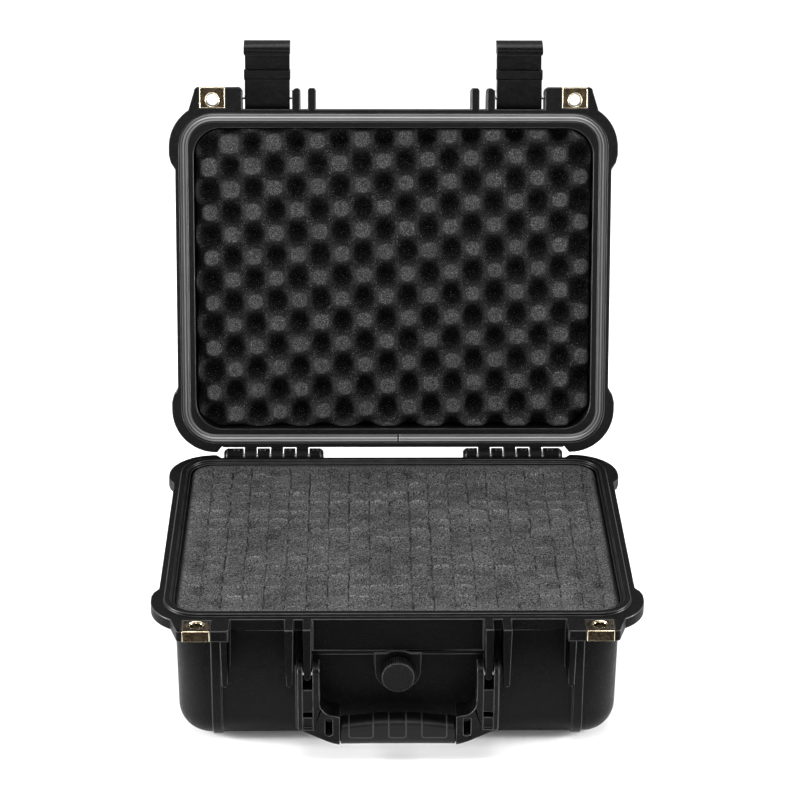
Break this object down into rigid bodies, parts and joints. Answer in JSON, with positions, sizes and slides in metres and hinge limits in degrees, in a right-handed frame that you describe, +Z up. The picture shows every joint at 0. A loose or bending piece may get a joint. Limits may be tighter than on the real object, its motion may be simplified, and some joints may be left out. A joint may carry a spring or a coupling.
{
  "type": "hard equipment case",
  "caption": "Small hard equipment case with a hinged lid, swinging latches and handle, purge valve, padlock tabs and foam lining in lid and base.",
  "frame": {"origin": "centre of the base's underside, on the surface the case stands on", "axes": "+Z up, +Y towards the hinge at the back, +X to the right seen from the latch side"},
  "size_m": [0.355, 0.4123, 0.4196],
  "materials": {
    "shell_plastic": "fine-grained moulded black",
    "seal_rubber": "smooth grey-black elastomer",
    "grip_rubber": "soft matte overmould",
    "lid_foam": "open-cell foam",
    "base_foam": "open-cell foam",
    "pin_steel": "drawn",
    "plate_brass": "satin plated"
  },
  "bodies": {
    "base": {"base_shell": "shell_plastic", "pluck_foam": "base_foam", "base_pad": "base_foam", "hinge_pin_left": "pin_steel", "hinge_pin_right": "pin_steel", "handle_pin_left": "pin_steel", "handle_pin_right": "pin_steel", "base_plate_left": "plate_brass", "base_plate_right": "plate_brass", "valve_seat": "plate_brass", "valve_oring": "seal_rubber"},
    "lid": {"lid_shell": "shell_plastic", "lid_gasket": "seal_rubber", "lid_foam": "lid_foam", "latch_pin_left": "pin_steel", "latch_pin_right": "pin_steel", "lid_plate_left": "plate_brass", "lid_plate_right": "plate_brass"},
    "left_latch": {"latch_left": "shell_plastic"},
    "right_latch": {"latch_right": "shell_plastic"},
    "handle": {"handle_frame": "shell_plastic", "handle_grip": "grip_rubber"},
    "knob": {"valve_knob": "shell_plastic"}
  },
  "joints": [
    {"name": "lid_hinge", "type": "hinge", "parent": "base", "child": "lid", "pos_m": [0, 0.1426, 0.10625], "axis": [1, 0, 0], "range_deg": [0, 104]},
    {"name": "latch_left_pivot", "type": "hinge", "parent": "lid", "child": "left_latch", "pos_m": [-0.1001, 0.23765, 0.37689], "axis": [1, 0, 0], "range_deg": [-35, 90]},
    {"name": "latch_right_pivot", "type": "hinge", "parent": "lid", "child": "right_latch", "pos_m": [0.1001, 0.23765, 0.37689], "axis": [1, 0, 0], "range_deg": [-35, 90]},
    {"name": "handle_pivot", "type": "hinge", "parent": "base", "child": "handle", "pos_m": [0, -0.144, 0.0705], "axis": [-1, 0, 0], "range_deg": [0, 95]},
    {"name": "valve_turn", "type": "hinge", "parent": "base", "child": "knob", "pos_m": [0, -0.14, 0.0677], "axis": [0, -1, 0], "range_deg": [0, 270]}
  ]
}
